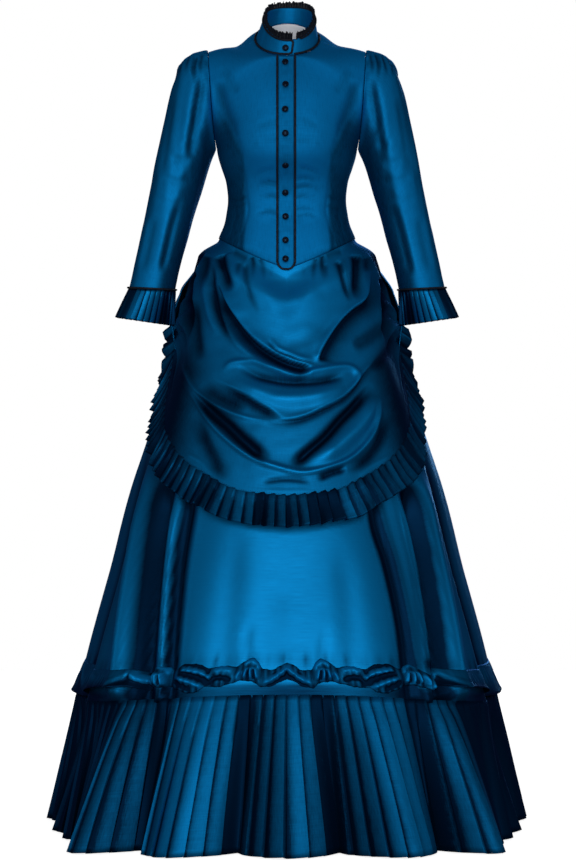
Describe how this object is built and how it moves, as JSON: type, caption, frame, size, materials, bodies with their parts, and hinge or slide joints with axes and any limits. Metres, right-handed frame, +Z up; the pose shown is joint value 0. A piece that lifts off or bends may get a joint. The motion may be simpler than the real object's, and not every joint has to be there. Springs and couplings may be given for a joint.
{
  "type": "bustle dress",
  "caption": "Long satin bustle dress, worn form: fitted buttoned bodice with stand collar, long sleeves with frilled cuffs, draped overskirt, and underskirt with a pleated flounce",
  "frame": {"origin": "midway between the shoulders, where the wearer carries the dress", "axes": "+Z up, -Y is the front of the dress, +X the wearer's left"},
  "size_m": [0.9273, 1.0892, 1.5169],
  "materials": {
    "satin_blue": "deep blue satin with a soft sheen",
    "trim_black": "black-navy piping and fine frill",
    "lining_white": "plain white lining",
    "button_black": "glossy black shank buttons"
  },
  "bodies": {
    "root": {"apron": "satin_blue", "apron_frill": "satin_blue", "bodice_back_left": "satin_blue", "bodice_back_right": "satin_blue", "bodice_front_left": "satin_blue", "bodice_front_right": "satin_blue", "bustle_drape": "satin_blue", "button_01": "button_black", "button_02": "button_black", "button_03": "button_black", "button_04": "button_black", "button_05": "button_black", "button_06": "button_black", "button_07": "button_black", "button_08": "button_black", "button_09": "button_black", "button_10": "button_black", "collar": "satin_blue", "collar_frill": "trim_black", "collar_piping": "trim_black", "cuff_frill_left": "satin_blue", "cuff_frill_right": "satin_blue", "cuff_piping_left": "trim_black", "cuff_piping_right": "trim_black", "drape_frill": "satin_blue", "flounce_back": "satin_blue", "flounce_front": "satin_blue", "flounce_left": "satin_blue", "flounce_right": "satin_blue", "neck_lining": "lining_white", "placket": "satin_blue", "placket_piping": "trim_black", "ruche": "satin_blue", "sleeve_left": "satin_blue", "sleeve_right": "satin_blue", "underskirt": "satin_blue"}
  },
  "joints": []
}
